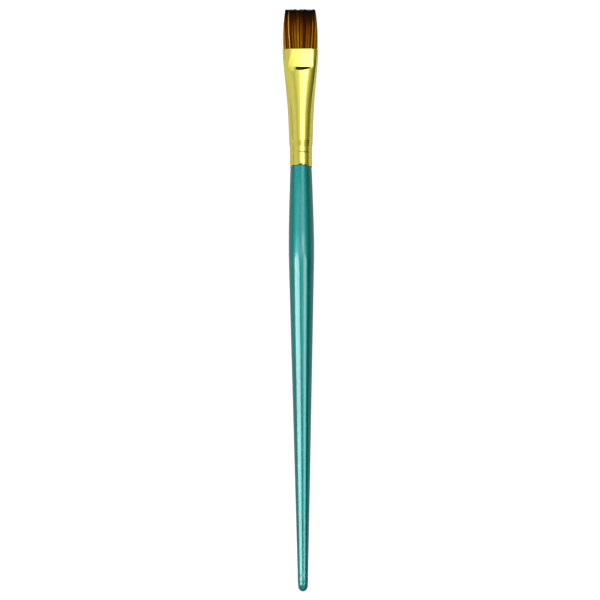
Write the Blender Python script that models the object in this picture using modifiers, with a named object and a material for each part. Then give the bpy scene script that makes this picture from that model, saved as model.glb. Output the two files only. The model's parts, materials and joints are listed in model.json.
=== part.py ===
"""Flat artist's paint brush in the half-inch size, lying on a table with its hair towards +Y.

Every piece is built along the brush's own axis: local Z is the station along it, from the tail of the
handle to the tip of the hair, local X is the width of the ferrule and local Y its thickness. The empty
brush_axis lays them on the table, where the belly of the handle and the ferrule both touch it. Sizes
are in millimetres, and leave as metres.
"""

import math

import bmesh
import bpy

MM = 0.001
SHARP_EDGE = math.radians(25)
SIDES = 42  # 4 n + 2, so that a facet and not an edge faces the table

# Handle: a straight taper, a parabola over the belly, and a taper that steepens towards the ferrule
LENGTH = 212.0
TAIL_RADIUS = 1.77
DOME_LENGTH = 2.2
REAR_TAPER = 0.0228
FRONT_TAPER = 0.02
FRONT_CURVE = 0.00045
BELLY_START = 119.0
BELLY_END = 131.4
NECK_GAP = 0.3
TAPER_STATIONS = (95.0, 70.0, 45.0, 20.0)
FRONT_STATIONS = (148.0, 143.0, 137.0)
DOME_ANGLES = (0, 18, 36, 54, 72, 90)

# Tenon of the handle inside the ferrule
TENON_RADIUS = 3.62
TENON_REDUCED_RADIUS = 3.3
TENON_STEP = (163.4, 164.6)
TENON_NOSE = (169.5, 171.0)
TENON_NOSE_RADIUS = 2.8
CLEARANCE = 0.06

# Ferrule: round and crimped on the handle, then an ellipse that widens to the mouth
FERRULE_REAR = 154.4
FERRULE_MOUTH = 197.4
FERRULE_WALL = 0.22
GRIP_RADIUS = 3.9
STEP_START = 161.5
STEP_END = 162.9
CRIMPS = (159.0, 163.3)
CRIMP_HALF_LENGTH = 0.3
CRIMP_DEPTH = 0.06
HALF_WIDTHS = ((STEP_END, 4.12), (175.0, 4.57), (184.0, 5.28), (192.4, 6.05), (FERRULE_MOUTH, 6.35))
HALF_DEPTHS = ((STEP_END, 4.02), (172.0, 3.85), (180.0, 3.5), (189.3, 2.96), (FERRULE_MOUTH, 2.62))
CONE_STATIONS = (168.0, 172.0, 176.0, 180.0, 183.5, 186.5)

# Flats pressed into both faces of the ferrule below its mouth
FLAT_HALF_DEPTH = 2.1
FLAT_START = 190.75
FLAT_MIDDLE = 194.0
SHOULDER_LENGTH = 1.45
SHOULDER_HEIGHT = 0.9

# Hair: free length outside the mouth, trimmed to a chisel edge
HAIR_HALF_WIDTH = 6.17
HAIR_WIDEST = 201.0
HAIR_ROOT_NARROWING = 0.09
HAIR_TIP_NARROWING = 0.8
HAIR_HALF_DEPTH = 1.8
HAIR_TIP_HALF_DEPTH = 0.4
HINGE = FERRULE_MOUTH + 1.25
LOCKS = 16
LOCK_GAP = 0.05
LOCK_ROOT_TURNS = (0.15, 0.4, 0.7)
OUTERMOST_HAIR = 0.995
TRIM_VARIATION = 0.16
TRIM_RHYTHM = 2.4

# Pieces inside the ferrule, each at its own inset from the ferrule's outer face
LINING_INSET = FERRULE_WALL + CLEARANCE
ADHESIVE = (165.0, 169.0)
PLUG = (175.5, 182.6)
SOCKET_FLOOR = 179.5
SOCKET_INSET = 1.3
ROOT_START = 179.8
ROOT_END = 196.5
ROOT_TAIL_INSET = 1.4
ROOT_WAIST_INSET = 0.75
ROOT_WAIST = (183.6, 186.2)
ROOT_FLARE = 0.5
THREAD_RADIUS = 0.15
THREAD_INSET = 0.55
THREAD_TURNS = 3.5
THREAD_PITCH = 0.36
THREAD_POINTS_PER_TURN = 30


def curve_through(points, station):
    """A smooth value at this station: a cubic through the given (station, value) points."""
    count = len(points)
    index = max(i for i in range(count - 1) if i == 0 or points[i][0] <= station)
    (start, low), (end, high) = points[index], points[index + 1]

    def slope(i):
        before, after = points[max(i - 1, 0)], points[min(i + 1, count - 1)]
        return (after[1] - before[1]) / (after[0] - before[0])

    span = end - start
    t = (station - start) / span
    bend_in = slope(index) * span
    bend_out = slope(index + 1) * span
    return (
        (2 * t**3 - 3 * t**2 + 1) * low
        + (t**3 - 2 * t**2 + t) * bend_in
        + (3 * t**2 - 2 * t**3) * high
        + (t**3 - t**2) * bend_out
    )


def handle_radius(station):
    """The lacquered handle: dome, rear taper, belly, front taper."""
    if station < DOME_LENGTH:
        return TAIL_RADIUS * math.sqrt(1 - (1 - station / DOME_LENGTH) ** 2)
    rear = TAIL_RADIUS + REAR_TAPER * (station - DOME_LENGTH)
    if station < BELLY_START:
        return rear
    bend = (REAR_TAPER + FRONT_TAPER) / (BELLY_END - BELLY_START)
    into_belly = min(station, BELLY_END) - BELLY_START
    past_belly = max(station - BELLY_END, 0)
    belly = rear - REAR_TAPER * (station - BELLY_START - into_belly) - bend * into_belly**2 / 2
    return belly - FRONT_TAPER * past_belly - FRONT_CURVE * past_belly**2


def crimp_depth(station):
    """How far the rolled grooves press into the ferrule here."""
    depth = 0.0
    for crimp in CRIMPS:
        reach = abs(station - crimp) / CRIMP_HALF_LENGTH
        if reach < 1:
            depth = CRIMP_DEPTH * (1 + math.cos(math.pi * reach)) / 2
    return depth


def ferrule_half_sizes(station):
    """(half width, half depth, depth of the pressed flats) of the ferrule's outer face."""
    crimp = crimp_depth(station)
    if station <= STEP_START:
        return GRIP_RADIUS - crimp, GRIP_RADIUS - crimp, GRIP_RADIUS
    if station < STEP_END:
        rise = (station - STEP_START) / (STEP_END - STEP_START)
        width = GRIP_RADIUS + rise * (HALF_WIDTHS[0][1] - GRIP_RADIUS)
        depth = GRIP_RADIUS + rise * (HALF_DEPTHS[0][1] - GRIP_RADIUS)
        return width - crimp, depth - crimp, depth
    width = curve_through(HALF_WIDTHS, station)
    depth = curve_through(HALF_DEPTHS, station)
    shoulder = max(FLAT_START - station, 0) / SHOULDER_LENGTH
    return width, depth, min(FLAT_HALF_DEPTH + SHOULDER_HEIGHT * shoulder, depth)


def ferrule_ring(station, inset=0.0):
    """One section of the ferrule, or of a piece that lies this far inside it."""
    width, depth, flat = (size - inset for size in ferrule_half_sizes(station))
    ring = []
    for side in range(SIDES):
        angle = 2 * math.pi * side / SIDES
        across = max(-flat, min(flat, depth * math.sin(angle)))
        ring.append((width * math.cos(angle), across, station))
    return ring


def round_ring(station, radius):
    angles = [2 * math.pi * side / SIDES for side in range(SIDES)]
    return [(radius * math.cos(angle), radius * math.sin(angle), station) for angle in angles]


def steps(start, end, count):
    return [start + (end - start) * i / count for i in range(count + 1)]


def ferrule_stations():
    grip = [FERRULE_REAR]
    for crimp in CRIMPS:
        grip += [crimp - CRIMP_HALF_LENGTH, crimp, crimp + CRIMP_HALF_LENGTH]
    grip += [STEP_START, STEP_END]
    shoulder = steps(FLAT_START - SHOULDER_LENGTH, FLAT_START, 3)
    return sorted(grip) + list(CONE_STATIONS) + shoulder + [FLAT_MIDDLE, FERRULE_MOUTH]


def make_material(name, colour, roughness, metallic=0.0):
    material = bpy.data.materials.new(name)
    material.use_nodes = True
    shader = material.node_tree.nodes["Principled BSDF"]
    shader.inputs["Base Color"].default_value = (*colour, 1.0)
    shader.inputs["Roughness"].default_value = roughness
    shader.inputs["Metallic"].default_value = metallic
    return material


def place(name, data, material, parent):
    """Adds the piece to the brush, on its parent's axis."""
    piece = bpy.data.objects.new(name, data)
    data.materials.append(material)
    piece.parent = parent
    bpy.data.collections["paint_brush"].objects.link(piece)
    return piece


def loft(name, rings, material, parent, capped=True):
    """A skin over rings that run counter-clockwise, closed by a face at each end if capped."""
    form = bmesh.new()
    loops = [[form.verts.new([size * MM for size in point]) for point in ring] for ring in rings]
    for lower, upper in zip(loops, loops[1:]):
        for i in range(len(lower)):
            j = (i + 1) % len(lower)
            form.faces.new((lower[i], lower[j], upper[j], upper[i]))
    if capped:
        form.faces.new(reversed(loops[0]))
        form.faces.new(loops[-1])
    mesh = bpy.data.meshes.new(name)
    form.to_mesh(mesh)
    form.free()
    mesh.shade_smooth()
    mesh.set_sharp_from_angle(angle=SHARP_EDGE)
    return place(name, mesh, material, parent)


def tenon_profile():
    """(radius, station) from the nose down to the neck, clear of the crimps."""
    outline = [(0.0, TENON_NOSE[1]), (TENON_NOSE_RADIUS, TENON_NOSE[1])]
    outline += [(TENON_REDUCED_RADIUS, TENON_NOSE[0]), (TENON_REDUCED_RADIUS, TENON_STEP[1])]
    for station in reversed([s for s in ferrule_stations() if s < TENON_STEP[0]]):
        bore = ferrule_half_sizes(station)[1] - LINING_INSET
        outline.append((min(TENON_RADIUS, bore), station))
    return outline


def handle_profile():
    """(radius, station) of the whole handle, from the tenon's nose down to the tail."""
    belly = steps(BELLY_END, BELLY_START, 6)
    dome = [DOME_LENGTH * (1 - math.sin(math.radians(angle))) for angle in DOME_ANGLES]
    visible = [FERRULE_REAR - NECK_GAP, *FRONT_STATIONS] + belly + [*TAPER_STATIONS] + dome
    return tenon_profile() + [(handle_radius(station), station) for station in visible]


def make_handle(parent):
    outline = handle_profile()
    mesh = bpy.data.meshes.new("handle")
    points = [(radius * MM, 0.0, station * MM) for radius, station in outline]
    mesh.from_pydata(points, [(i, i + 1) for i in range(len(points) - 1)], [])
    lacquer = make_material("teal_lacquer", (0.03, 0.27, 0.26), 0.2)
    handle = place("handle", mesh, lacquer, parent)
    turning = handle.modifiers.new("turning", "SCREW")
    turning.steps = SIDES
    turning.render_steps = SIDES
    turning.use_merge_vertices = True
    turning.merge_threshold = 0.000001


def make_ferrule(parent):
    gold = make_material("gold_metal", (0.83, 0.71, 0.25), 0.22, 1.0)
    rings = [ferrule_ring(station) for station in ferrule_stations()]
    ferrule = loft("ferrule", rings, gold, parent, capped=False)
    wall = ferrule.modifiers.new("wall", "SOLIDIFY")
    wall.thickness = FERRULE_WALL * MM
    wall.offset = -1.0
    wall.use_even_offset = True


def make_adhesive(parent):
    glue = make_material("glue", (0.75, 0.66, 0.42), 0.5)
    low, high = ADHESIVE
    bore = TENON_REDUCED_RADIUS + CLEARANCE
    rings = [ferrule_ring(low, LINING_INSET), ferrule_ring(high, LINING_INSET)]
    rings += [round_ring(high, bore), round_ring(low, bore)]
    loft("handle_adhesive", rings + rings[:1], glue, parent, capped=False)


def make_epoxy_plug(parent):
    resin = make_material("epoxy", (0.55, 0.36, 0.12), 0.35)
    low, high = PLUG
    rings = [ferrule_ring(station, LINING_INSET) for station in steps(low, high, 2)]
    rings += [ferrule_ring(station, SOCKET_INSET) for station in (high, SOCKET_FLOOR)]
    loft("epoxy_plug", rings, resin, parent)


def make_filament_roots(parent):
    """The hair inside the ferrule: tapered into the plug, waisted for the thread, then full."""
    hair = make_material("root_hair", (0.2, 0.09, 0.02), 0.45)
    waist_low, waist_high = ROOT_WAIST
    sections = [(ROOT_START, ROOT_TAIL_INSET), (PLUG[1] + CLEARANCE, ROOT_TAIL_INSET)]
    sections += [(waist_low, ROOT_WAIST_INSET), (waist_high, ROOT_WAIST_INSET)]
    shoulder = steps(FLAT_START - SHOULDER_LENGTH, FLAT_START, 3)
    root_inset = LINING_INSET + CLEARANCE
    full = [waist_high + ROOT_FLARE] + shoulder + [FLAT_MIDDLE, ROOT_END]
    sections += [(station, root_inset) for station in full]
    loft("filament_roots", [ferrule_ring(*section) for section in sections], hair, parent)


def make_binding_thread(parent):
    """A thread wound round the waist of the roots, as a bevelled polyline on a helix."""
    curve = bpy.data.curves.new("binding_thread", "CURVE")
    curve.dimensions = "3D"
    curve.bevel_depth = THREAD_RADIUS * MM
    curve.bevel_resolution = 1
    curve.use_fill_caps = True
    count = int(THREAD_TURNS * THREAD_POINTS_PER_TURN) + 1
    start = (sum(ROOT_WAIST) - THREAD_TURNS * THREAD_PITCH) / 2
    spline = curve.splines.new("POLY")
    spline.points.add(count - 1)
    for i, point in enumerate(spline.points):
        turn = i / THREAD_POINTS_PER_TURN
        station = start + THREAD_PITCH * turn
        width, depth, _ = (size - THREAD_INSET for size in ferrule_half_sizes(station))
        angle = 2 * math.pi * turn
        place_mm = (width * math.cos(angle), depth * math.sin(angle), station)
        point.co = (*[size * MM for size in place_mm], 1.0)
    place("binding_thread", curve, make_material("thread", (0.8, 0.77, 0.68), 0.8), parent)


def hair_half_width(station):
    along = station - HAIR_WIDEST
    if along < 0:
        return HAIR_HALF_WIDTH - HAIR_ROOT_NARROWING * (along / (HAIR_WIDEST - FERRULE_MOUTH)) ** 2
    return HAIR_HALF_WIDTH - HAIR_TIP_NARROWING * (along / (LENGTH - HAIR_WIDEST)) ** 2


def hair_half_depth(station):
    along = max(station - HINGE, 0) / (LENGTH - HINGE)
    return HAIR_HALF_DEPTH - (HAIR_HALF_DEPTH - HAIR_TIP_HALF_DEPTH) * along**1.3


def lock_ring(edges, station, turn):
    """One section of a lock; turn runs from 0 at its rounded root to 1 where its full depth starts."""
    front = []
    for across in (edges[0], sum(edges) / 2, edges[1]):
        fullness = (1 - across**4) ** 0.25
        angle = math.pi / 2 * turn
        root = HINGE - HAIR_HALF_DEPTH * fullness * math.cos(angle)
        height = root if turn < 1 else station
        depth = hair_half_depth(height) * fullness * math.sin(angle)
        front.append((across * hair_half_width(height), -depth, height - HINGE))
    back = [(x, -depth, height) for x, depth, height in reversed(front)]
    return front + back


def make_locks(hinge):
    """The free hair in locks side by side, which turn as one about the axis at the mouth."""
    dark = make_material("dark_hair", (0.03, 0.012, 0.006), 0.35)
    brown = make_material("brown_hair", (0.11, 0.04, 0.01), 0.35)
    amber = make_material("amber_hair", (0.33, 0.17, 0.02), 0.35)
    colours = (brown, dark, amber)
    pitch = 2 * OUTERMOST_HAIR / LOCKS
    half_gap = LOCK_GAP / 2 / HAIR_HALF_WIDTH
    for index in range(LOCKS):
        left = pitch * index - OUTERMOST_HAIR
        edges = (left + half_gap, left + pitch - half_gap)
        tip = LENGTH - TRIM_VARIATION * (1 - math.cos(TRIM_RHYTHM * index)) / 2
        rings = [lock_ring(edges, HINGE, turn) for turn in LOCK_ROOT_TURNS]
        rings += [lock_ring(edges, station, 1) for station in steps(HINGE, tip, 4)]
        loft(f"filament_lock_{index + 1:02d}", rings, colours[index % 3], hinge)


def resting_pose():
    """The axis's tilt, and its height at the tail, when belly and ferrule both lie on the table."""
    facet = math.cos(math.pi / SIDES)
    belly = (BELLY_START + BELLY_END) / 2
    tilt = min(
        math.atan2(facet * (handle_radius(belly) - ferrule_half_sizes(station)[1]), station - belly)
        for station in ferrule_stations()
    )
    outline = [(station, handle_radius(station)) for station in steps(BELLY_START, BELLY_END, 6)]
    outline += [(station, ferrule_half_sizes(station)[1]) for station in ferrule_stations()]
    height = max(facet * radius * math.cos(tilt) + station * math.sin(tilt) for station, radius in outline)
    return tilt, height


def add_empty(name, parent=None):
    empty = bpy.data.objects.new(name, None)
    empty.empty_display_size = 0.005
    empty.parent = parent
    bpy.data.collections["paint_brush"].objects.link(empty)
    return empty


def main():
    for leftover in list(bpy.data.objects):
        bpy.data.objects.remove(leftover)
    brush = bpy.data.collections.new("paint_brush")
    bpy.context.scene.collection.children.link(brush)

    tilt, height = resting_pose()
    axis = add_empty("brush_axis")
    axis.location = (0.0, -LENGTH / 2 * math.cos(tilt) * MM, height * MM)
    axis.rotation_euler = (-math.pi / 2 - tilt, 0.0, 0.0)

    make_handle(axis)
    make_ferrule(axis)
    make_adhesive(axis)
    make_epoxy_plug(axis)
    make_filament_roots(axis)
    make_binding_thread(axis)

    hinge = add_empty("tuft_hinge", axis)
    hinge.location = (0.0, 0.0, HINGE * MM)
    make_locks(hinge)


main()
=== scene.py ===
import json
import math

import bpy
import numpy as np
from mathutils import Matrix, Vector

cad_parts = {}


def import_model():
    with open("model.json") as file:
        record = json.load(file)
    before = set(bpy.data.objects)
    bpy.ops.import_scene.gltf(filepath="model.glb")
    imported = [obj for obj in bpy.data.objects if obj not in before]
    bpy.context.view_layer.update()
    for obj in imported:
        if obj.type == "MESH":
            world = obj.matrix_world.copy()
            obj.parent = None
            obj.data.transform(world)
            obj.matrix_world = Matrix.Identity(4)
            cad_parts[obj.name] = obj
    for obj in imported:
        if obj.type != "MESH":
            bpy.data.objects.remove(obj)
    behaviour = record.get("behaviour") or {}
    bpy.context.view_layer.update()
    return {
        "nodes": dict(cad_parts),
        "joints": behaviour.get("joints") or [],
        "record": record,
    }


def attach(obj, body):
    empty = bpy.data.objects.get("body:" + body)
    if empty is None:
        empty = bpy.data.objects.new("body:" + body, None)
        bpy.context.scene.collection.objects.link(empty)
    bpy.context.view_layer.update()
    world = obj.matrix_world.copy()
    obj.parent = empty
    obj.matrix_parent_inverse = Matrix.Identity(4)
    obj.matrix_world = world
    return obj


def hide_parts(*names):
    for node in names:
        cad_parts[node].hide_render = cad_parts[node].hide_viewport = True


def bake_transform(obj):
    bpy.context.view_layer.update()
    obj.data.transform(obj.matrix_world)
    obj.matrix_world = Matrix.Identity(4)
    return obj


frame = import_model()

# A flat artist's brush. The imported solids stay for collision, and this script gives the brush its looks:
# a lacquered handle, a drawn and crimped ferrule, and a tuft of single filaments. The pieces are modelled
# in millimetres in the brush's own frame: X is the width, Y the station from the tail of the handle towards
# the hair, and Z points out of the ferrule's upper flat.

MM = 0.001

# The brush's frame, from the record; HINGE is the station of the tuft's hinge
FLAT = next(mount for mount in frame["record"]["mounts"] if mount["name"] == "upper_flat")
FLEX = next(joint for joint in frame["joints"] if joint["name"] == "tuft_flex")
HINGE = 198.65
UP = Vector(FLAT["axis"]).normalized()
ALONG = UP.cross(Vector((1, 0, 0))).normalized()
TAIL = Vector(FLEX["pos_m"]) - ALONG * HINGE * MM
AXIS = Matrix.Translation(TAIL) @ Matrix(((1, 0, 0), ALONG, UP)).transposed().to_4x4()

# Stations and radii, as in the solids
LENGTH = 212.0
TAIL_RADIUS = 1.77
DOME_LENGTH = 2.2
REAR_TAPER = 0.0228
FRONT_TAPER = 0.02
FRONT_CURVE = 0.00045
BELLY_START = 119.0
BELLY_END = 131.4
FERRULE_REAR = 154.4
FERRULE_MOUTH = 197.4
FERRULE_WALL = 0.22
GRIP_RADIUS = 3.9
STEP_START = 161.5
STEP_END = 162.9
HALF_WIDTHS = ((STEP_END, 4.12), (175.0, 4.57), (184.0, 5.28), (192.4, 6.05), (FERRULE_MOUTH, 6.35))
HALF_DEPTHS = ((STEP_END, 4.02), (172.0, 3.85), (180.0, 3.5), (189.3, 3.02), (FERRULE_MOUTH, 2.62))
FLAT_HALF_DEPTH = 2.1
FLAT_START = 190.75
SHOULDER_LENGTH = 1.45
SHOULDER_HEIGHT = 0.9


def world(x, station, z):
    """The place in the row frame of a point in the brush's frame."""
    return AXIS @ (Vector((x, station, z)) * MM)


# ---------------------------------------------------------------- meshes

def grid_faces(rows, columns, looped=False):
    """Quads over rings of points; looped also joins the last ring to the first."""
    last = rows if looped else rows - 1
    row, column = np.meshgrid(np.arange(last), np.arange(columns), indexing="ij")
    next_row, next_column = (row + 1) % rows, (column + 1) % columns
    corners = [(row, column), (row, next_column), (next_row, next_column), (next_row, column)]
    return np.stack([r * columns + c for r, c in corners], axis=-1).reshape(-1, 4)


def mesh_piece(name, points, quads, caps, material, attributes=()):
    """An object in the brush's frame from points in millimetres, with quads, the end faces that close it,
    and float attributes on its points."""
    mesh = bpy.data.meshes.new(name)
    mesh.vertices.add(len(points))
    mesh.vertices.foreach_set("co", (points * MM).astype(np.float32).ravel())
    mesh.loops.add(quads.size + caps.size)
    mesh.loops.foreach_set("vertex_index", np.concatenate([quads.ravel(), caps.ravel()]).astype(np.int32))
    mesh.polygons.add(len(quads) + len(caps))
    starts = [np.arange(len(quads)) * quads.shape[1], quads.size + np.arange(len(caps)) * caps.shape[1]]
    mesh.polygons.foreach_set("loop_start", np.concatenate(starts).astype(np.int32))
    mesh.update(calc_edges=True)
    for key, values in attributes:
        mesh.attributes.new(key, "FLOAT", "POINT").data.foreach_set("value", values.astype(np.float32))
    mesh.shade_smooth()
    mesh.transform(AXIS)
    mesh.materials.append(material)
    piece = bpy.data.objects.new(name, mesh)
    bpy.context.scene.collection.objects.link(piece)
    return piece


def ring_skin(name, rings, material, attributes=(), looped=False):
    """A closed skin over an array of rings, shaped (rings, sides, 3): capped at its ends, or looped."""
    rows, sides, _ = rings.shape
    ends = np.array([np.arange(sides)[::-1], np.arange(sides) + (rows - 1) * sides])
    caps = ends[:0] if looped else ends
    return mesh_piece(name, rings.reshape(-1, 3), grid_faces(rows, sides, looped), caps, material, attributes)


def bell(value, centre, reach):
    """1 at the centre, falling away smoothly over this reach to both sides."""
    return np.exp(-(((value - centre) / reach) ** 2))


def smoothstep(low, high, value):
    """0 up to low, 1 from high, and a smooth step between."""
    t = np.clip((value - low) / (high - low), 0.0, 1.0)
    return t * t * (3 - 2 * t)


def stations_past(spans):
    """Even stations over each (from, to, count) span, each span without its own first station."""
    return np.concatenate([np.linspace(*span)[1:] for span in spans])


def curve_through(knots, station):
    """Smooth values at these stations: a cubic through the given (station, value) knots."""
    x, y = np.array(knots).T
    slope = np.gradient(y, x)
    slope[1:-1] = (y[2:] - y[:-2]) / (x[2:] - x[:-2])
    i = np.clip(np.searchsorted(x, station, side="right") - 1, 0, len(x) - 2)
    span = x[i + 1] - x[i]
    t = (station - x[i]) / span
    rest = (2 * t**3 - 3 * t**2 + 1) * y[i] + (3 * t**2 - 2 * t**3) * y[i + 1]
    return rest + ((t**3 - 2 * t**2 + t) * slope[i] + (t**3 - t**2) * slope[i + 1]) * span


# ---------------------------------------------------------------- material helpers

NOISE_ROUGHNESS = 0.55
# Sockets of a Mix node that mixes colours, which share their names with others
MIX_FACTOR, MIX_FIRST, MIX_SECOND, MIX_RESULT = 0, 6, 7, 2


def new_material(name):
    """A material, its node tree and its shader."""
    material = bpy.data.materials.new(name)
    material.use_nodes = True
    return material, material.node_tree, material.node_tree.nodes["Principled BSDF"]


def add_node(tree, kind, inputs=(), **settings):
    """A node with these settings; an input is a value or the socket that feeds it."""
    node = tree.nodes.new(kind)
    for key, value in settings.items():
        setattr(node, key, value)
    for key, value in inputs:
        if isinstance(value, bpy.types.NodeSocket):
            tree.links.new(value, node.inputs[key])
        else:
            node.inputs[key].default_value = value
    return node


def stretched(tree, scale):
    """The piece's own coordinates, in metres, scaled by (x, along, z)."""
    place = add_node(tree, "ShaderNodeTexCoord").outputs["Object"]
    return add_node(tree, "ShaderNodeMapping", [("Vector", place), ("Scale", scale)]).outputs["Vector"]


def noise(tree, vector, scale, detail=3.0):
    inputs = [("Vector", vector), ("Scale", scale), ("Detail", detail), ("Roughness", NOISE_ROUGHNESS)]
    return add_node(tree, "ShaderNodeTexNoise", inputs).outputs["Fac"]


def share_between(tree, value, low, high):
    """0 where the value is low and 1 where it is high."""
    inputs = [("Value", value), ("From Min", low), ("From Max", high)]
    return add_node(tree, "ShaderNodeMapRange", inputs).outputs["Result"]


def ramp(tree, factor, stops):
    """A colour ramp with (position, colour) stops; a colour may be one grey number."""
    node = add_node(tree, "ShaderNodeValToRGB", [("Fac", factor)])
    elements = node.color_ramp.elements
    while len(elements) < len(stops):
        elements.new(0.5)
    for element, (position, colour) in zip(elements, stops):
        element.position = position
        element.color = (colour,) * 3 + (1,) if isinstance(colour, (int, float)) else (*colour, 1)
    return node.outputs["Color"]


def bump(tree, height, strength, distance):
    inputs = [("Height", height), ("Strength", strength), ("Distance", distance)]
    return add_node(tree, "ShaderNodeBump", inputs).outputs["Normal"]


def mix_colour(tree, factor, first, second, blend_type="MIX"):
    """Mixes two colours; each may be a socket or an (r, g, b)."""
    def whole(colour):
        return colour if isinstance(colour, bpy.types.NodeSocket) else (*colour, 1)

    node = add_node(tree, "ShaderNodeMix", data_type="RGBA", blend_type=blend_type)
    for index, value in ((MIX_FACTOR, factor), (MIX_FIRST, whole(first)), (MIX_SECOND, whole(second))):
        if isinstance(value, bpy.types.NodeSocket):
            tree.links.new(value, node.inputs[index])
        else:
            node.inputs[index].default_value = value
    return node.outputs[MIX_RESULT]


# ---------------------------------------------------------------- materials

# The tenon's wood, painted near black: painted shade for the shadow in the gap under the ferrule's rear edge
WOOD_IN_FERRULE_PAINTED_SHADE = (0.012, 0.007, 0.003)
FLOOR_GLOW = 0.76


def lacquer_material():
    """Pearl teal: fine flakes under a clear coat with a faint orange peel, and the tenon's wood in the
    ferrule painted near black as shade.
    """
    material, tree, shader = new_material("teal_pearl_lacquer")
    flakes = noise(tree, stretched(tree, (1, 1, 1)), scale=9000.0, detail=1.0)
    clouds = noise(tree, stretched(tree, (1, 0.25, 1)), scale=260.0)
    tint = ramp(tree, clouds, [(0.3, (0.0, 0.172, 0.162)), (0.7, (0.001, 0.2, 0.19))])
    spark = ramp(tree, flakes, [(0.35, 0.85), (0.5, 1.0), (0.72, 1.25)])
    pearl = mix_colour(tree, 1.0, tint, spark, "MULTIPLY")
    # The tenon's points take the near-black wood colour: painted shade
    shaded_tenon = add_node(tree, "ShaderNodeAttribute", attribute_name="shaded_tenon").outputs["Fac"]
    tree.links.new(mix_colour(tree, shaded_tenon, pearl, WOOD_IN_FERRULE_PAINTED_SHADE), shader.inputs["Base Color"])
    tree.links.new(ramp(tree, flakes, [(0.3, 0.32), (0.7, 0.4)]), shader.inputs["Roughness"])
    shader.inputs["Metallic"].default_value = 0.6
    shader.inputs["Specular IOR Level"].default_value = 0.0
    shader.inputs["Coat Weight"].default_value = 1.0
    shader.inputs["Coat Roughness"].default_value = 0.06
    shader.inputs["Coat IOR"].default_value = 1.45
    peel = noise(tree, stretched(tree, (1, 0.6, 1)), scale=700.0, detail=1.0)
    tree.links.new(bump(tree, peel, strength=0.2, distance=0.00001), shader.inputs["Coat Normal"])
    tree.links.new(bump(tree, flakes, strength=0.2, distance=0.00002), shader.inputs["Normal"])
    return material


def gold_material():
    """Gold-coloured tube: drawn lengthways, polished, with a few faint handling marks."""
    material, tree, shader = new_material("gold_ferrule_metal")
    draw_lines = noise(tree, stretched(tree, (1, 0.02, 1)), scale=5200.0, detail=4.0)
    marks = noise(tree, stretched(tree, (1, 1, 1)), scale=420.0, detail=5.0)
    tint = ramp(tree, marks, [(0.3, (0.925, 0.83, 0.145)), (0.65, (0.955, 0.87, 0.17))])
    tree.links.new(tint, shader.inputs["Base Color"])
    shader.inputs["Metallic"].default_value = 1.0
    tree.links.new(ramp(tree, marks, [(0.35, 0.11), (0.7, 0.15)]), shader.inputs["Roughness"])
    tree.links.new(bump(tree, draw_lines, strength=0.1, distance=0.000005), shader.inputs["Normal"])
    return material


def hair_material(name, colour, dip):
    """Synthetic filament, each one a little lighter or darker than the next.

    dip is how dark the hair is along its length, as (place from mouth to tip, colour that multiplies it).
    """
    material, tree, shader = new_material(name)
    along = add_node(tree, "ShaderNodeAttribute", attribute_name="along").outputs["Fac"]
    shade = add_node(tree, "ShaderNodeAttribute", attribute_name="shade").outputs["Fac"]
    darkness = ramp(tree, along, dip)
    lightness = ramp(tree, shade, [(0.0, 0.4), (1.0, 1.6)])
    varied = mix_colour(tree, 1.0, colour, lightness, "MULTIPLY")
    tree.links.new(mix_colour(tree, 1.0, varied, darkness, "MULTIPLY"), shader.inputs["Base Color"])
    grain = noise(tree, stretched(tree, (1, 0.05, 1)), scale=9000.0, detail=2.0)
    tree.links.new(ramp(tree, grain, [(0.3, 0.36), (0.7, 0.5)]), shader.inputs["Roughness"])
    shader.inputs["Specular IOR Level"].default_value = 0.25
    shader.inputs["Specular Tint"].default_value = (1.0, 0.36, 0.05, 1)
    return material


def resin_material():
    """Cast amber epoxy, cloudy where it cured unevenly."""
    material, tree, shader = new_material("amber_epoxy")
    clouds = noise(tree, stretched(tree, (1, 1, 1)), scale=600.0)
    tint = ramp(tree, clouds, [(0.3, (0.3, 0.15, 0.03)), (0.7, (0.5, 0.3, 0.09))])
    tree.links.new(tint, shader.inputs["Base Color"])
    tree.links.new(ramp(tree, clouds, [(0.3, 0.2), (0.7, 0.4)]), shader.inputs["Roughness"])
    tree.links.new(bump(tree, clouds, strength=0.3, distance=0.00005), shader.inputs["Normal"])
    return material


def glue_material():
    """Dried wood glue with a rough crust."""
    material, tree, shader = new_material("dried_glue")
    crust = noise(tree, stretched(tree, (1, 1, 1)), scale=1800.0)
    tint = ramp(tree, crust, [(0.3, (0.55, 0.43, 0.2)), (0.7, (0.75, 0.66, 0.42))])
    tree.links.new(tint, shader.inputs["Base Color"])
    tree.links.new(ramp(tree, crust, [(0.3, 0.4), (0.7, 0.65)]), shader.inputs["Roughness"])
    tree.links.new(bump(tree, crust, strength=0.4, distance=0.00004), shader.inputs["Normal"])
    return material


def thread_material():
    """Twisted binding thread: slanting strands in the colour and the bump."""
    material, tree, shader = new_material("binding_thread_fibre")
    place = add_node(tree, "ShaderNodeTexCoord").outputs["Object"]
    inputs = [("Vector", place), ("Scale", 1400.0), ("Distortion", 2.0)]
    twist = add_node(tree, "ShaderNodeTexWave", inputs, bands_direction="DIAGONAL").outputs["Fac"]
    tint = ramp(tree, twist, [(0.2, (0.55, 0.5, 0.4)), (0.8, (0.82, 0.78, 0.68))])
    tree.links.new(tint, shader.inputs["Base Color"])
    tree.links.new(ramp(tree, twist, [(0.2, 0.9), (0.8, 0.7)]), shader.inputs["Roughness"])
    tree.links.new(bump(tree, twist, strength=0.5, distance=0.00004), shader.inputs["Normal"])
    return material


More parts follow.
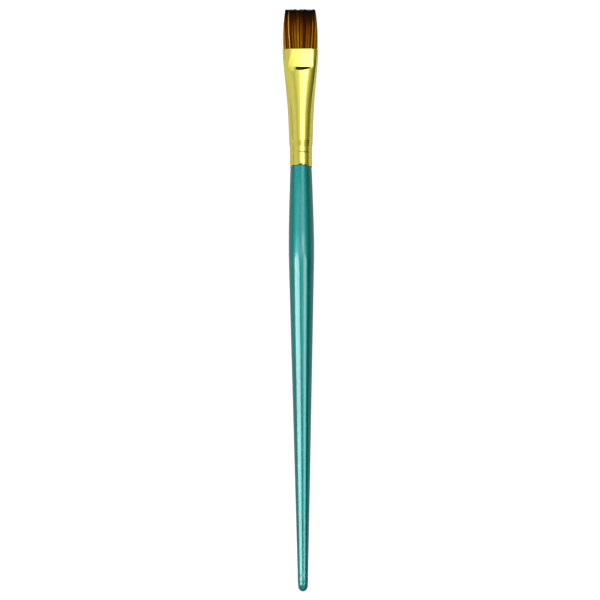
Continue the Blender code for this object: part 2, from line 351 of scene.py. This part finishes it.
def floor_material():
    """White paper on a light table: its glow, which only the lens sees, takes most of the shadow away."""
    material, tree, shader = new_material("pale_floor")
    tooth = noise(tree, stretched(tree, (1, 1, 1)), scale=900.0)
    tree.links.new(ramp(tree, tooth, [(0.3, 0.45), (0.7, 0.47)]), shader.inputs["Base Color"])
    seen = add_node(tree, "ShaderNodeLightPath").outputs["Is Camera Ray"]
    glow = add_node(tree, "ShaderNodeMath", [(0, seen), (1, FLOOR_GLOW)], operation="MULTIPLY").outputs[0]
    tree.links.new(glow, shader.inputs["Emission Strength"])
    shader.inputs["Emission Color"].default_value = (1, 1, 1, 1)
    shader.inputs["Roughness"].default_value = 0.9
    shader.inputs["Specular IOR Level"].default_value = 0.0
    return material


# ---------------------------------------------------------------- handle

HANDLE_SIDES = 180
DOME_RINGS = 24
# Angle at which the dome starts, which leaves a tiny flat on the tail's end
DOME_START = 0.02
LACQUER_END = FERRULE_REAR - 0.1
NECK_START = LACQUER_END - 1.2
# Spans of the lacquered skin past the dome: (from, to, rings), closer together at the neck
LACQUER_SPANS = ((DOME_LENGTH, NECK_START, 260), (NECK_START, LACQUER_END, 12))
# A bead of lacquer at the tail, with a hollow behind it: (station, height, reach)
TAIL_BEAD = ((4.4, 0.05, 1.3), (2.2, -0.02, 0.8))
# Slow waves in the lacquer: (height, lobes round the handle, radians of twist in a millimetre)
LACQUER_WAVES = ((0.006, 2, 0.11), (0.004, 3, -0.07))
# Station at which the waves, which start at the tail, have their full height
WAVES_FULL = 12.0
# The bare tenon: (station, radius)
TENON = ((LACQUER_END, 3.52), (LACQUER_END + 0.1, 3.52), (169.5, 3.3), (171.0, 2.8))


def round_rings(stations, radii, angle):
    """Circles round the brush's axis; radii has one number for each station, or one for each point."""
    radii = np.broadcast_to(radii.reshape(len(stations), -1), (len(stations), len(angle)))
    along = np.repeat(stations[:, None], len(angle), axis=1)
    return np.stack([radii * np.sin(angle), along, radii * np.cos(angle)], axis=-1)


def handle_radius(station):
    """Dome, rear taper, belly and front taper of the lacquered handle."""
    up_dome = np.minimum(station, DOME_LENGTH) / DOME_LENGTH
    dome = TAIL_RADIUS * np.sqrt(np.clip(1 - (1 - up_dome) ** 2, 0, 1))
    rear = REAR_TAPER * (np.clip(station, DOME_LENGTH, BELLY_START) - DOME_LENGTH)
    into_belly = np.clip(station, BELLY_START, BELLY_END) - BELLY_START
    bend = (REAR_TAPER + FRONT_TAPER) / (BELLY_END - BELLY_START)
    past_belly = np.maximum(station - BELLY_END, 0)
    front = FRONT_TAPER * past_belly + FRONT_CURVE * past_belly**2
    return dome + rear + REAR_TAPER * into_belly - bend * into_belly**2 / 2 - front


def make_handle(material):
    """The handle from its domed tail to the tenon inside the ferrule, with the lacquer's slow waviness."""
    dome = DOME_LENGTH * (1 - np.cos(np.linspace(DOME_START, math.pi / 2, DOME_RINGS)))
    lacquered = np.concatenate([dome, stations_past(LACQUER_SPANS)])
    radius = handle_radius(lacquered)
    for centre, height, reach in TAIL_BEAD:
        radius += height * bell(lacquered, centre, reach)
    angle = np.linspace(0, 2 * math.pi, HANDLE_SIDES, endpoint=False)
    wave = sum(
        height * np.sin(lobes * angle + twist * lacquered[:, None]) for height, lobes, twist in LACQUER_WAVES
    )
    rise = smoothstep(0, WAVES_FULL, lacquered)
    skin = round_rings(lacquered, radius[:, None] + wave * rise[:, None], angle)
    tenon = round_rings(*np.array(TENON).T, angle)
    rings = np.concatenate([skin, tenon])
    # Marks the tenon's points, which the lacquer paints near black as shade
    shaded_tenon = np.repeat([0.0, 1.0], [len(skin) * HANDLE_SIDES, len(tenon) * HANDLE_SIDES])
    return ring_skin("handle_lacquered", rings, material, [("shaded_tenon", shaded_tenon)])


# ---------------------------------------------------------------- ferrule

FERRULE_SIDES = 264
# How far the half-round rims bulge past the end rings of the outside
MOUTH_RIM = 0.06
REAR_RIM = 0.05
RIM_STEPS = 7
# Spans of the outside: (from, to, rings), closest together at the shoulder and then at the grip
FERRULE_SPANS = (
    (FERRULE_REAR + REAR_RIM, 166.0, 110),
    (166.0, 189.0, 40),
    (189.0, 191.6, 52),
    (191.6, FERRULE_MOUTH - MOUTH_RIM, 24),
)
# Grooves rolled round the grip: (station, depth, reach)
GROOVES = ((163.1, 0.022, 0.3), (158.98, 0.022, 0.3), (155.2, 0.006, 0.2))
# Notches in the ferrule's rear edge, where the tenon shows, painted near black as the shade in the gap:
# (degrees from the top, half width, depth)
NOTCHES = ((-3.0, 9.0, 0.55), (28.0, 6.0, 0.36), (-47.0, 6.0, 0.3), (75.0, 6.0, 0.15), (170.0, 9.0, 0.2))
# How far from the edge a notch pulls the skin
NOTCH_REACH = 1.3
# How far the rear edge is rolled in, and over what length
REAR_ROLL = 0.06
REAR_ROLL_LENGTH = 0.3
# Dents of a micrometre that handling left in the grip, and the stations between which they fade
DENT_PATCHES = 0.0009
DENT_TWIST = 0.0006
DENTS_FADE = (164.0, 167.0)
# The die that pressed the flat: a crown across it, and a shoulder that is steep only under the die's nose
FLAT_CROWN = 0.007
NOSE_MIDDLE = 0.7
NOSE_HALF_WIDTHS = (2.5, 3.0)
NOSE_LEAN = 0.5
# The edge round the flat is sharp at its fold and rounder at the mouth, changing between these stations
FOLD_ROUNDING = 0.05
FLAT_ROUNDING = 0.45
ROUNDING_CHANGE = (FLAT_START - 0.2, FLAT_START + 4.5)


def soft_minimum(first, second, radius):
    """The smaller value, with the corner between the two rounded off."""
    blend = np.clip(0.5 + 0.5 * (second - first) / radius, 0, 1)
    return second * (1 - blend) + first * blend - radius * blend * (1 - blend) / 2


def ferrule_sizes(station):
    """Half width and half depth of the tube before its mouth is pressed flat."""
    rise = np.clip((station - STEP_START) / (STEP_END - STEP_START), 0, 1)
    cone = np.maximum(station, STEP_END)
    width = GRIP_RADIUS + (curve_through(HALF_WIDTHS, cone) - GRIP_RADIUS) * rise
    depth = GRIP_RADIUS + (curve_through(HALF_DEPTHS, cone) - GRIP_RADIUS) * rise
    return width, depth


def flat_height(station, x):
    """How far the pressed flat, or the shoulder below it, lies from the middle of the tube."""
    beside_nose = smoothstep(*NOSE_HALF_WIDTHS, np.abs(x - NOSE_MIDDLE))
    slope = SHOULDER_HEIGHT / SHOULDER_LENGTH * (1 - NOSE_LEAN * beside_nose)
    return FLAT_HALF_DEPTH - FLAT_CROWN * x**2 + slope * np.maximum(FLAT_START - station, 0)


def grip_dents(angle, along):
    """Two crossing patterns of faint waves round the grip."""
    patches = DENT_PATCHES * np.sin(5 * angle + 1.9 * along) * np.sin(2.1 * along)
    twist = DENT_TWIST * np.sin(9 * angle - 2.7 * along)
    return (patches + twist) * (1 - smoothstep(*DENTS_FADE, along))


def ferrule_rings(stations, inset):
    """Sections of the ferrule's skin this far inside its outer face."""
    width, depth = (size[:, None] for size in ferrule_sizes(stations))
    along = np.repeat(stations[:, None], FERRULE_SIDES, axis=1)
    angle = np.linspace(0, 2 * math.pi, FERRULE_SIDES, endpoint=False)
    groove = sum(deep * bell(along, centre, reach) for centre, deep, reach in GROOVES)
    rear_roll = REAR_ROLL * (1 - smoothstep(FERRULE_REAR, FERRULE_REAR + REAR_ROLL_LENGTH, along))
    shrink = inset + groove + rear_roll + grip_dents(angle, along)
    x = (width - shrink) * np.sin(angle)
    rounded = (depth - shrink) * np.abs(np.cos(angle))
    rounding = FOLD_ROUNDING + (FLAT_ROUNDING - FOLD_ROUNDING) * smoothstep(*ROUNDING_CHANGE, along)
    pressed = soft_minimum(rounded, flat_height(along, x) - inset, rounding)
    away = [(np.degrees(angle) - middle + 180) % 360 - 180 for middle, _, _ in NOTCHES]
    notch = sum(deep * bell(far, 0, half) for far, (_, half, deep) in zip(away, NOTCHES))
    edge = along + notch * (1 - smoothstep(FERRULE_REAR, FERRULE_REAR + NOTCH_REACH, along))
    return np.stack([x, edge, pressed * np.sign(np.cos(angle))], axis=-1)


def rim_rings(station, bulge, start):
    """The half-round edge of the tube wall, from this inset to the other face."""
    half = FERRULE_WALL / 2
    rings = []
    for turn in np.linspace(0, math.pi, RIM_STEPS)[1:-1]:
        inset = start + (half - start) * (1 - math.cos(turn))
        rings.append(ferrule_rings(np.array([station + bulge * math.sin(turn)]), inset))
    return rings


def make_ferrule(material):
    """One looped skin: up the outside, over the rounded mouth, down the inside and round the rear rim."""
    outside = np.concatenate([[FERRULE_REAR + REAR_RIM], stations_past(FERRULE_SPANS)])
    rings = [ferrule_rings(outside, 0.0)]
    rings += rim_rings(outside[-1], MOUTH_RIM, 0.0)
    rings += [ferrule_rings(outside[::-1][::2], FERRULE_WALL)]
    rings += rim_rings(outside[0], -REAR_RIM, FERRULE_WALL)
    return ring_skin("ferrule_drawn", np.concatenate(rings), material, looped=True)


# ---------------------------------------------------------------- hair

HAIR_HALF_WIDTH = 6.17
HAIR_WIDEST = 201.0
HAIR_ROOT_NARROWING = 0.09
HAIR_TIP_NARROWING = 0.8
HAIR_HALF_DEPTH = 1.8
HAIR_TIP_HALF_DEPTH = 0.4
# Power with which the tuft thins from its hinge to its tip, and the power of its squarish section
HAIR_THINNING = 1.3
SECTION_POWER = 4
HAIR_START = 192.5
# Room between the hair and the tube, and the length past the mouth over which the hair loses its shape
HAIR_CLEARANCE = 0.12
HAIR_HOLD = 1.2
# How much the hair at the tip fans out towards the tuft's edges, and where that starts
HAIR_FAN = 0.65
FAN_START = FERRULE_MOUTH - 1.0
HAIR_SEED = 7
FILAMENTS = 3200
FILAMENT_SIDES = 5
FILAMENT_RADIUS = 0.06
# Places of the outermost filaments, and the farthest out that a filament may wander
OUTERMOST = 0.99
PLACE_LIMIT = 0.995
# Level of the filaments that lie deepest in the tuft
DEEPEST_LEVEL = 0.1
# Places of a filament's rings, from its start to its tip, closest together where the tuft bends
FILAMENT_STEPS = (0.0, 0.25, 0.3, 0.35, 0.4, 0.46, 0.53, 0.72, 0.9, 1.0)
# Share of its radius that a filament loses at its tip, and over what length
TIP_TAPER = 0.75
TAPER_LENGTH = 7.0
# How much the filaments differ: place across the tuft, depth below its face, wandering sideways, radius
PLACE_CHANGE = 0.004
DEPTH_CHANGE = 0.16
WANDER = 0.012
RADIUS_CHANGE = (0.8, 1.15)
# The filaments gather in clumps towards the tip: a share of the way to the clump's middle, over this length
CLUMPS = 29
GATHER = 0.4
GATHER_LENGTH = 6.0
# How far the longest filaments pass the solids' tip, and how much shorter clumps and single filaments are
TRIM_OVER = 0.4
CLUMP_TRIM = 0.36
FILAMENT_TRIM = 0.03
# How much earlier hair darkens on the right of the tuft, growing between these places, and clump by clump
EARLY_RIGHT = 0.07
EARLY_PLACES = (-0.1, 0.6)
EARLY_CHANGE = 0.025
# The imported hair inside: sizes as shares of the tuft's, what it lacks in length, and its colour, darker
# than the outer hair's as painted shade deep among the filaments
CORE_RINGS = 30
CORE_SIDES = 96
CORE_WIDTH = 0.965
CORE_HEIGHT = 0.86
CORE_SHORTER = 0.3
CORE_COLOUR_IN_PAINTED_SHADE = (0.055, 0.009, 0.001)
# The core's low lightness also darkens it: painted shade
CORE_SHADE = 0.3

# Tone, from 0 for dark to 1 for golden: its mean, and how it changes across the tuft and between filaments
MEAN_TONE = 0.34
TONE_KNOTS = 85
TONE_CHANGE = 0.2
FILAMENT_TONE_CHANGE = 0.04
# Bundles of lighter or darker hair across the tuft: (place from -1 to 1, half width, change in tone). The
# lighter bundles from about ±0.93 outwards are painted light: the amber glow of light shining through the
# outermost filaments
BUNDLES_AND_EDGE_GLOW = (
    (-0.985, 0.02, 1.4), (-0.93, 0.03, 0.25), (-0.86, 0.03, 0.25), (-0.77, 0.035, -0.4), (-0.61, 0.02, 1.2),
    (-0.52, 0.035, -0.5), (-0.42, 0.02, 0.35), (-0.35, 0.025, -0.4), (-0.28, 0.03, 0.4), (-0.2, 0.02, -0.15),
    (-0.14, 0.05, 0.25), (-0.03, 0.03, -0.35), (0.04, 0.02, 0.3), (0.13, 0.02, -0.2), (0.22, 0.05, -0.7),
    (0.34, 0.02, 0.3), (0.4, 0.02, -0.3), (0.46, 0.03, 0.1), (0.55, 0.035, -0.6), (0.64, 0.045, 0.3),
    (0.73, 0.035, -0.6), (0.83, 0.03, 0.25), (0.885, 0.03, -0.5), (0.94, 0.03, 0.25), (0.985, 0.02, 1.2),
)
# Tone from which the hair is golden: only the strongest bundles reach it, among them the painted glow at the
# tuft's two edges
GOLD_TONE = 0.8
# How the dye darkens towards the tip, reddish on the way; the gold hair keeps its colour longest
DIP = (
    (0.0, (1.0, 1.0, 1.0)), (0.3, (0.93, 0.88, 0.9)), (0.52, (0.66, 0.5, 0.5)), (0.7, (0.32, 0.14, 0.2)),
    (0.82, (0.1, 0.025, 0.05)), (0.9, (0.025, 0.004, 0.01)), (0.94, (0.004, 0.0005, 0.002)),
)
GOLD_DIP = (
    (0.0, (0.95, 0.95, 1.0)), (0.6, (0.95, 0.95, 0.9)), (0.8, (0.7, 0.62, 0.5)), (0.9, (0.36, 0.28, 0.2)),
    (0.96, (0.02, 0.01, 0.01)),
)
# The hair's colours, darkest first: (name, colour, darkening, slot)
HAIR_TONES = (
    ("hair_black_brown", (0.036, 0.005, 0.001), DIP, "dark_hair"),
    ("hair_dark_brown", (0.115, 0.028, 0.001), DIP, "dark_hair"),
    ("hair_chestnut", (0.22, 0.085, 0.001), DIP, "brown_hair"),
    ("hair_amber", (0.34, 0.16, 0.001), DIP, "amber_hair"),
    ("hair_gold", (0.7, 0.42, 0.012), GOLD_DIP, "amber_hair"),
)


def hair_half_width(station):
    """Half width of the tuft above the mouth."""
    below = HAIR_ROOT_NARROWING * ((HAIR_WIDEST - station) / (HAIR_WIDEST - FERRULE_MOUTH)) ** 2
    above = HAIR_TIP_NARROWING * ((station - HAIR_WIDEST) / (LENGTH - HAIR_WIDEST)) ** 2
    return HAIR_HALF_WIDTH - np.where(station < HAIR_WIDEST, below, above)


def hair_half_depth(station):
    """Half depth of the tuft, which thins from its hinge to its tip."""
    along = np.clip(station - HINGE, 0, None) / (LENGTH - HINGE)
    return HAIR_HALF_DEPTH - (HAIR_HALF_DEPTH - HAIR_TIP_HALF_DEPTH) * along**HAIR_THINNING


def section_height(place):
    """Height of the tuft's section at a place across it, from 0 at its edges to 1 in the middle."""
    return (1 - np.abs(place) ** SECTION_POWER) ** (1 / SECTION_POWER)


def hair_place(place, level, station):
    """Width and height of hair at a place across the tuft and a level in it, both from -1 to 1."""
    fan = HAIR_FAN * smoothstep(FAN_START, LENGTH, station)
    across = place * (1 - fan) + np.sin(place * math.pi / 2) * fan
    free_station = np.maximum(station, FERRULE_MOUTH)
    free_width = hair_half_width(free_station)
    free_height = section_height(place) * hair_half_depth(free_station)
    tube = ferrule_sizes(np.minimum(station, FERRULE_MOUTH))
    tube_width, tube_depth = (size - FERRULE_WALL - HAIR_CLEARANCE for size in tube)
    width = np.where(station < FERRULE_MOUTH, np.minimum(free_width, tube_width), free_width)
    tube_height = tube_depth * np.sqrt(np.clip(1 - (across * width / tube_width) ** 2, 0, 1))
    held = 1 - smoothstep(FERRULE_MOUTH, FERRULE_MOUTH + HAIR_HOLD, station)
    height = free_height * (1 - held) + np.minimum(free_height, tube_height) * held
    return across * width, level * height


def bundle_tone(across, rng):
    """How light the hair is at each place across the tuft, from 0 to 1, with painted light glowing through
    its two edges.
    """
    knots = np.linspace(-1.05, 1.05, TONE_KNOTS)
    tone = MEAN_TONE + np.interp(across, knots, rng.normal(0, TONE_CHANGE, TONE_KNOTS))
    for centre, half, change in BUNDLES_AND_EDGE_GLOW:
        tone = tone + change * bell(across, centre, half)
    tone = np.where(tone > 1.0, 1.0, np.minimum(tone, GOLD_TONE - 0.05))
    return np.clip(tone + rng.normal(0, FILAMENT_TONE_CHANGE, across.shape), 0, 0.999)


def filament_lines(rng):
    """Every filament's centre line, radii and place along the hair, then its shade and tone."""
    across = np.linspace(-OUTERMOST, OUTERMOST, FILAMENTS)
    across += rng.uniform(-PLACE_CHANGE, PLACE_CHANGE, FILAMENTS)
    level = np.clip(1 - np.abs(rng.normal(0, DEPTH_CHANGE, FILAMENTS)), DEEPEST_LEVEL, 1.0)
    level *= np.where(rng.uniform(size=FILAMENTS) < 0.5, -1, 1)
    clumps = np.linspace(-1, 1, CLUMPS)
    clump = np.argmin(np.abs(across[:, None] - clumps), axis=1)
    longest = LENGTH + TRIM_OVER - rng.uniform(0.0, CLUMP_TRIM, CLUMPS)[clump]
    tip = longest - np.abs(rng.normal(0, FILAMENT_TRIM, FILAMENTS))
    station = HAIR_START + (tip - HAIR_START)[:, None] * np.array(FILAMENT_STEPS)
    free = smoothstep(FERRULE_MOUTH, LENGTH, station)
    wander = rng.normal(0, WANDER, FILAMENTS)[:, None] * free
    gather = GATHER * smoothstep(LENGTH - GATHER_LENGTH, LENGTH, station)
    place = across[:, None] * (1 - gather) + clumps[clump][:, None] * gather + wander
    x, z = hair_place(np.clip(place, -PLACE_LIMIT, PLACE_LIMIT), level[:, None], station)
    taper = 1 - TIP_TAPER * smoothstep(LENGTH - TAPER_LENGTH, LENGTH, station)
    radii = FILAMENT_RADIUS * taper * rng.uniform(*RADIUS_CHANGE, FILAMENTS)[:, None]
    lines = np.stack([x, station, z], axis=-1)
    early = 1 + EARLY_RIGHT * smoothstep(*EARLY_PLACES, across) + rng.normal(0, EARLY_CHANGE, CLUMPS)[clump]
    along = np.clip(hair_share(station) * early[:, None], 0, 1)
    return lines, radii, along, rng.uniform(0, 1, FILAMENTS), bundle_tone(across, rng)


def hair_share(station):
    """0 at the ferrule's mouth, 1 at the tip."""
    return np.clip((station - FERRULE_MOUTH) / (LENGTH - FERRULE_MOUTH), 0, 1)


def filament_tubes(lines, radii):
    """Points, quads and end caps of a closed tube round each centre line."""
    count, rows, _ = lines.shape
    angle = np.linspace(0, 2 * math.pi, FILAMENT_SIDES, endpoint=False)
    circle = np.stack([np.sin(angle), np.zeros_like(angle), np.cos(angle)], axis=-1)
    points = lines[:, :, None, :] + radii[:, :, None, None] * circle
    first = np.arange(count)[:, None, None] * rows * FILAMENT_SIDES
    quads = (grid_faces(rows, FILAMENT_SIDES) + first).reshape(-1, 4)
    ring = np.arange(FILAMENT_SIDES)
    caps = (np.array([ring[::-1], ring + (rows - 1) * FILAMENT_SIDES]) + first).reshape(-1, FILAMENT_SIDES)
    return points.reshape(-1, 3), quads, caps


def make_filaments():
    """The filaments, one piece for each tone of hair."""
    lines, radii, along, shade, tone = filament_lines(np.random.default_rng(HAIR_SEED))
    group = (tone * len(HAIR_TONES)).astype(int)
    pieces = []
    for index, (name, colour, dip, slot) in enumerate(HAIR_TONES):
        chosen = group == index
        per_point = [
            ("along", np.repeat(along[chosen].ravel(), FILAMENT_SIDES)),
            ("shade", np.repeat(shade[chosen], lines.shape[1] * FILAMENT_SIDES)),
        ]
        tubes = filament_tubes(lines[chosen], radii[chosen])
        pieces.append((mesh_piece(name, *tubes, hair_material(name, colour, dip), per_point), slot))
    return pieces


def make_core():
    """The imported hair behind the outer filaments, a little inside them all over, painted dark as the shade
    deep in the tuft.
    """
    stations = np.linspace(HAIR_START, LENGTH - CORE_SHORTER, CORE_RINGS)[:, None]
    angle = np.linspace(0, 2 * math.pi, CORE_SIDES, endpoint=False)
    place = CORE_WIDTH * np.sign(np.sin(angle)) * np.abs(np.sin(angle)) ** 0.5
    level = CORE_HEIGHT * np.sign(np.cos(angle)) * np.abs(np.cos(angle)) ** 0.5
    level = level / section_height(place)
    x, z = hair_place(place[None, :], level[None, :], stations)
    rings = np.stack([x, np.broadcast_to(stations, x.shape), z], axis=-1)
    per_point = [("along", hair_share(rings[:, :, 1].ravel())), ("shade", np.full(x.size, CORE_SHADE))]
    return ring_skin("hair_core", rings, hair_material("hair_core", CORE_COLOUR_IN_PAINTED_SHADE, DIP), per_point)


# ---------------------------------------------------------------- stage, light and camera

# The angle up from the table at which the camera looks along the brush, and how the brush leans in its view
CAMERA_ELEVATION = 76.0
CAMERA_ROLL = -0.27
# What the picture spans where the brush lies, in metres
FRAME_HEIGHT = 0.21166
CAMERA_LENS = 1600.0
SENSOR = 36.0
# How far left of the brush's middle the camera aims, in millimetres
ASIDE = 0.575
# Half the side of the floor and the height of the lights, in metres
FLOOR_HALF = 6.0
LIGHT_DISTANCE = 4.0
# Colour of the world's high glow, and the plain white that the lens sees in place of the world
GLOW = (5.4, 5.4, 5.4)
BACKDROP = (0.95, 0.95, 0.95)


def make_floor():
    """A square of paper on the table, as the stage."""
    mesh = bpy.data.meshes.new("floor")
    corners = [(x * FLOOR_HALF, y * FLOOR_HALF, 0) for x, y in ((-1, -1), (1, -1), (1, 1), (-1, 1))]
    mesh.from_pydata(corners, [], [(0, 1, 2, 3)])
    mesh.materials.append(floor_material())
    floor = bpy.data.objects.new("floor", mesh)
    bpy.context.scene.collection.objects.link(floor)


def add_softbox(name, lateral, forward, radiance, mirrored=True, spared=None):
    """A rectangular light seen from the brush between these angles, in degrees.

    lateral is the pair of angles to the right of straight up, and forward the pair towards the hair. Shiny
    surfaces show a mirrored light; spared is a piece that a black flag keeps the light off.
    """
    middle = math.radians(sum(lateral) / 2)
    near, far = (LIGHT_DISTANCE * math.tan(math.radians(angle)) for angle in forward)
    centre = Vector((LIGHT_DISTANCE * math.sin(middle), (near + far) / 2, LIGHT_DISTANCE * math.cos(middle)))
    back = Vector((math.sin(middle), 0, math.cos(middle)))
    across = Vector((math.cos(middle), 0, -math.sin(middle)))
    data = bpy.data.lights.new(name, "AREA")
    data.shape = "RECTANGLE"
    data.size = 2 * LIGHT_DISTANCE * math.tan(math.radians(lateral[1] - lateral[0]) / 2)
    data.size_y = far - near
    data.energy = radiance * math.pi * data.size * data.size_y
    light = bpy.data.objects.new(name, data)
    light.location = centre
    light.rotation_euler = Matrix((across, Vector((0, 1, 0)), back)).transposed().to_euler()
    light.visible_camera = False
    light.visible_glossy = mirrored
    bpy.context.scene.collection.objects.link(light)
    if spared:
        flag = bpy.data.collections.new(name + "_flag")
        flag.objects.link(spared)
        flag.collection_objects[0].light_linking.link_state = "EXCLUDE"
        light.light_linking.receiver_collection = flag


def make_lights(ferrule):
    """Two banks and two softer strips, all kept off the ferrule, and a fill that shiny things don't show."""
    add_softbox("left_bank", (-69, -17), (7, 14), 10.5, spared=ferrule)
    add_softbox("right_bank", (18, 48), (7, 14), 6.3, spared=ferrule)
    add_softbox("belly_fade", (-62, 8), (14, 16.5), 2.2, spared=ferrule)
    add_softbox("front_sheen", (-50, 18), (16.5, 20.5), 1.0, spared=ferrule)
    add_softbox("fill", (-62, 20), (-20, 35), 0.18, mirrored=False)


def make_world():
    """A studio seen by reflection: pale to the left, dark to the right and beyond the hair.

    The ferrule mirrors the part towards the hair, with a soft glow high in it, and the handle the part
    before it.
    """
    sky = bpy.data.worlds.new("studio")
    sky.use_nodes = True
    bpy.context.scene.world = sky
    tree = sky.node_tree
    direction = add_node(tree, "ShaderNodeTexCoord").outputs["Generated"]
    parts = add_node(tree, "ShaderNodeSeparateXYZ", [("Vector", direction)]).outputs
    lateral = add_node(tree, "ShaderNodeMath", [(0, parts[0]), (1, parts[2])], operation="ARCTAN2").outputs[0]
    turn = share_between(tree, lateral, -math.pi / 2, math.pi / 2)
    over_handle = ramp(tree, turn, [
        (0.0, 0.8), (0.1, 0.6), (0.38, 0.5), (0.44, 0.2), (0.6, 0.2), (0.66, 0.3), (0.78, 0.3),
        (0.82, 0.01), (1.0, 0.02),
    ])
    over_ferrule = ramp(tree, turn, [
        (0.0, 0.17), (0.06, 0.5), (0.12, 0.63), (0.24, 0.66), (0.34, 0.5), (0.44, 0.82), (0.66, 0.85),
        (0.75, 0.52), (0.83, (0.26, 0.25, 0.12)), (0.95, (0.19, 0.185, 0.07)), (1.0, (0.2, 0.19, 0.1)),
    ])
    towards_hair = ramp(tree, parts[1], [(0.08, 1.0), (0.12, 0.0), (0.226, 0.0), (0.238, 1.0)])
    walls = mix_colour(tree, towards_hair, over_handle, over_ferrule)
    across = ramp(tree, turn, [
        (0.46, 0.0), (0.484, 0.1), (0.503, 0.42), (0.55, 0.6), (0.58, 1.0), (0.615, 1.0), (0.655, 0.4),
        (0.71, 0.0),
    ])
    forward = ramp(tree, share_between(tree, parts[1], -0.2, 0.8), [
        (0.05, 0.0), (0.08, 0.54), (0.29, 0.54), (0.33, 0.0), (0.436, 0.0), (0.446, 1.0), (0.482, 1.0),
        (0.495, 0.4), (0.6, 0.4), (0.7, 0.0),
    ])
    glow = mix_colour(tree, 1.0, mix_colour(tree, 1.0, across, forward, "MULTIPLY"), GLOW, "MULTIPLY")
    beyond = ramp(tree, parts[1], [(0.88, 0.0), (0.93, 1.0)])
    aside = share_between(tree, parts[0], -0.3, 0.3)
    straight_on = ramp(tree, aside, [(0.33, 0.0), (0.36, 1.0), (0.64, 1.0), (0.67, 0.0)])
    black_card = mix_colour(tree, 1.0, beyond, straight_on, "MULTIPLY")
    studio = mix_colour(tree, black_card, mix_colour(tree, 1.0, walls, glow, "ADD"), (0.0, 0.0, 0.0))
    seen = add_node(tree, "ShaderNodeLightPath").outputs["Is Camera Ray"]
    tree.links.new(mix_colour(tree, seen, studio, BACKDROP), tree.nodes["Background"].inputs["Color"])


def make_camera():
    """A long lens high over the tail, aimed a little to the left of the middle of the brush."""
    data = bpy.data.cameras.new("camera")
    data.lens = CAMERA_LENS
    data.sensor_width = SENSOR
    data.clip_end = 100.0
    camera = bpy.data.objects.new("camera", data)
    bpy.context.scene.collection.objects.link(camera)
    elevation = math.radians(CAMERA_ELEVATION)
    back = Vector((0, -math.cos(elevation), math.sin(elevation)))
    camera.location = world(-ASIDE, LENGTH / 2, 0) + back * FRAME_HEIGHT * CAMERA_LENS / SENSOR
    upright = back.to_track_quat("Z", "Y").to_matrix()
    camera.rotation_euler = (upright @ Matrix.Rotation(math.radians(CAMERA_ROLL), 3, "Z")).to_euler()
    bpy.context.scene.camera = camera


# ---------------------------------------------------------------- the brush


def dress_inner_nodes():
    """The solids that stay get their materials."""
    materials = (
        ("handle_adhesive", glue_material()),
        ("epoxy_plug", resin_material()),
        ("binding_thread", thread_material()),
    )
    for node, material in materials:
        for slot in frame["nodes"][node].material_slots:
            slot.material = material


def build_brush():
    """Makes the pieces, sets the handle and the ferrule to ride on the brush, and gives back the ferrule for
    the lights.
    """
    handle = make_handle(lacquer_material())
    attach(handle, "brush")
    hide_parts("handle")

    ferrule = make_ferrule(gold_material())
    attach(ferrule, "brush")
    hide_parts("ferrule")

    core = make_core()
    locks = [node for node in frame["nodes"] if node.startswith("filament_lock")]
    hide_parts("filament_roots", *locks)
    for piece, slot in [(core, "dark_hair"), *make_filaments()]:
        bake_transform(piece)
    dress_inner_nodes()
    return ferrule


make_lights(build_brush())
make_floor()
make_world()
make_camera()
bpy.context.scene.view_settings.view_transform = "Standard"
